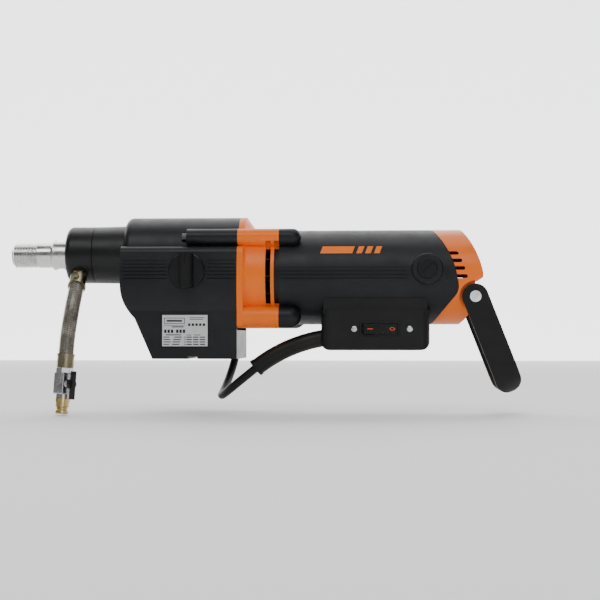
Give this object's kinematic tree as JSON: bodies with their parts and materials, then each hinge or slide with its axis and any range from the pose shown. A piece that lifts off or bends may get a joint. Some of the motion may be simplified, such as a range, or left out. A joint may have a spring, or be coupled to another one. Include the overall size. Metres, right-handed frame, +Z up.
{
  "type": "core drill motor",
  "caption": "Water-fed core drilling motor with a geared head, threaded spindle, speed knob, switch box, supply hose with a tap, and a swivelling bail handle.",
  "frame": {"origin": "centre of the stand bolt pattern, on the foot's bottom face, in the middle of the keyway", "axes": "+X along the spindle from its tip towards the rear handle, +Z up from the foot, -Y towards the side with the speed knob and the switch"},
  "size_m": [0.6491, 0.2237, 0.2492],
  "materials": {
    "casting_black": "satin black paint on cast aluminium",
    "flange_orange": "satin orange paint on cast aluminium",
    "housing_black": "fine-grained black glass-filled plastic",
    "cap_orange": "orange moulded plastic",
    "collar_black": "black anodised",
    "spindle_steel": "turned bare steel",
    "gear_steel": "ground and oiled steel",
    "bearing_steel": "polished bearing steel",
    "cast_inner": "bare cast aluminium",
    "lamination": "varnished steel laminations",
    "copper": "enamelled copper",
    "carbon": "graphite",
    "brass": "bare brass",
    "chromed": "nickel-plated brass, a little worn",
    "black_screw": "black-oxide steel",
    "zinc_screw": "zinc-plated steel",
    "plate_silver": "printed foil",
    "knob_black": "satin black plastic",
    "box_black": "grained black plastic",
    "rocker_black": "glossy black plastic",
    "circuit": "potted circuit board",
    "handle_black": "black plastic",
    "seal_rubber": "nitrile rubber",
    "cable_rubber": "matt neoprene sheath",
    "hose_braid": "hose under a woven metal braid",
    "ferrule_metal": "crimped ferrule",
    "lever_black": "coated lever",
    "fan_plastic": "glass-filled nylon"
  },
  "bodies": {
    "drill_motor": {"gearbox_housing": "casting_black", "spindle_neck": "collar_black", "water_collar": "collar_black", "shaft_seals": "seal_rubber", "intermediate_flange": "flange_orange", "motor_housing": "housing_black", "rear_cap": "cap_orange", "bearing_bridge": "cast_inner", "spindle_bearings": "bearing_steel", "gear_shaft_bearings": "bearing_steel", "selector_rod": "gear_steel", "stator_core": "lamination", "field_windings": "copper", "armature_bearings": "bearing_steel", "rear_bearing_bracket": "cast_inner", "brush_holders": "brass", "carbon_brushes": "carbon", "brush_springs": "bearing_steel", "brush_caps": "knob_black", "gearbox_screws": "black_screw", "rating_plate": "plate_silver", "switch_box": "box_black", "power_switch": "knob_black", "control_electronics": "circuit", "switch_box_screws": "zinc_screw", "handle_bolts": "zinc_screw", "hose_nipple": "brass", "water_hose": "hose_braid", "valve_body": "chromed", "quick_plug": "brass", "hose_clamps": "ferrule_metal", "cable_coil": "cable_rubber", "mains_cable": "cable_rubber", "mains_plug": "cable_rubber", "plug_pins": "brass", "cable_strap": "handle_black", "cable_sleeve": "seal_rubber"},
    "armature": {"armature_shaft": "gear_steel", "armature_core": "lamination", "armature_windings": "copper", "commutator": "copper", "cooling_fan": "fan_plastic"},
    "layshaft": {"layshaft": "gear_steel", "first_reduction_gear": "gear_steel", "slip_clutch_pack": "gear_steel", "clutch_nut": "gear_steel"},
    "output_shaft": {"output_shaft": "gear_steel", "second_speed_gear": "gear_steel"},
    "first_gear": {"first_speed_gear": "gear_steel"},
    "third_gear": {"third_speed_gear": "gear_steel"},
    "draw_key": {"draw_key": "gear_steel"},
    "fork": {"selector_fork": "brass"},
    "selector": {"gear_knob": "knob_black", "selector_shaft": "gear_steel"},
    "spindle": {"drill_spindle": "spindle_steel", "spindle_gear": "gear_steel"},
    "handle": {"rear_handle": "handle_black"},
    "rocker": {"switch_rocker": "rocker_black"},
    "valve_lever": {"valve_lever": "lever_black", "valve_ball": "chromed"}
  },
  "joints": [
    {"name": "armature_spin", "type": "hinge", "parent": "drill_motor", "child": "armature", "pos_m": [0.18, 0, 0.1034], "axis": [1, 0, 0], "continuous": true},
    {"name": "layshaft_spin", "type": "hinge", "parent": "drill_motor", "child": "layshaft", "pos_m": [0.01, -0.02316, 0.07885], "axis": [1, 0, 0], "continuous": true},
    {"name": "output_shaft_spin", "type": "hinge", "parent": "drill_motor", "child": "output_shaft", "pos_m": [-0.01, 0.021, 0.08752], "axis": [1, 0, 0], "continuous": true},
    {"name": "first_gear_spin", "type": "hinge", "parent": "drill_motor", "child": "first_gear", "pos_m": [-0.018, 0.021, 0.08752], "axis": [1, 0, 0], "continuous": true},
    {"name": "third_gear_spin", "type": "hinge", "parent": "drill_motor", "child": "third_gear", "pos_m": [0, 0.021, 0.08752], "axis": [1, 0, 0], "continuous": true},
    {"name": "spindle_spin", "type": "hinge", "parent": "drill_motor", "child": "spindle", "pos_m": [-0.1, 0, 0.1329], "axis": [1, 0, 0], "continuous": true},
    {"name": "gear_selector", "type": "hinge", "parent": "drill_motor", "child": "selector", "pos_m": [-0.0066, -0.06, 0.1099], "axis": [0, 1, 0], "range_deg": [-49.5, 49.5]},
    {"name": "fork_slide", "type": "slide", "parent": "drill_motor", "child": "fork", "axis": [1, 0, 0], "range_m": [-0.009, 0.009]},
    {"name": "draw_key_slide", "type": "slide", "parent": "output_shaft", "child": "draw_key", "axis": [1, 0, 0], "range_m": [-0.0091, 0.0091]},
    {"name": "switch_rock", "type": "hinge", "parent": "drill_motor", "child": "rocker", "pos_m": [0.233, -0.05, 0.0375], "axis": [0, 0, 1], "range_deg": [-16, 0]},
    {"name": "handle_pivot", "type": "hinge", "parent": "drill_motor", "child": "handle", "pos_m": [0.3512, 0, 0.0777], "axis": [0, -1, 0], "range_deg": [0, 85]},
    {"name": "valve_turn", "type": "hinge", "parent": "drill_motor", "child": "valve_lever", "pos_m": [-0.16006, -0.07026, -0.03091], "axis": [0.7795, -0.6264, -0.0064], "range_deg": [0, 90]}
  ],
  "couplings": [
    {"joint": "layshaft_spin", "follows": "armature_spin", "ratio": -0.22727},
    {"joint": "output_shaft_spin", "follows": "armature_spin", "ratio": 0.15152},
    {"joint": "first_gear_spin", "follows": "armature_spin", "ratio": 0.082645},
    {"joint": "third_gear_spin", "follows": "armature_spin", "ratio": 0.2972},
    {"joint": "spindle_spin", "follows": "armature_spin", "ratio": -0.047847},
    {"joint": "gear_selector", "follows": "fork_slide", "rad_per_m": 95.023},
    {"joint": "draw_key_slide", "follows": "fork_slide", "ratio": 1}
  ]
}
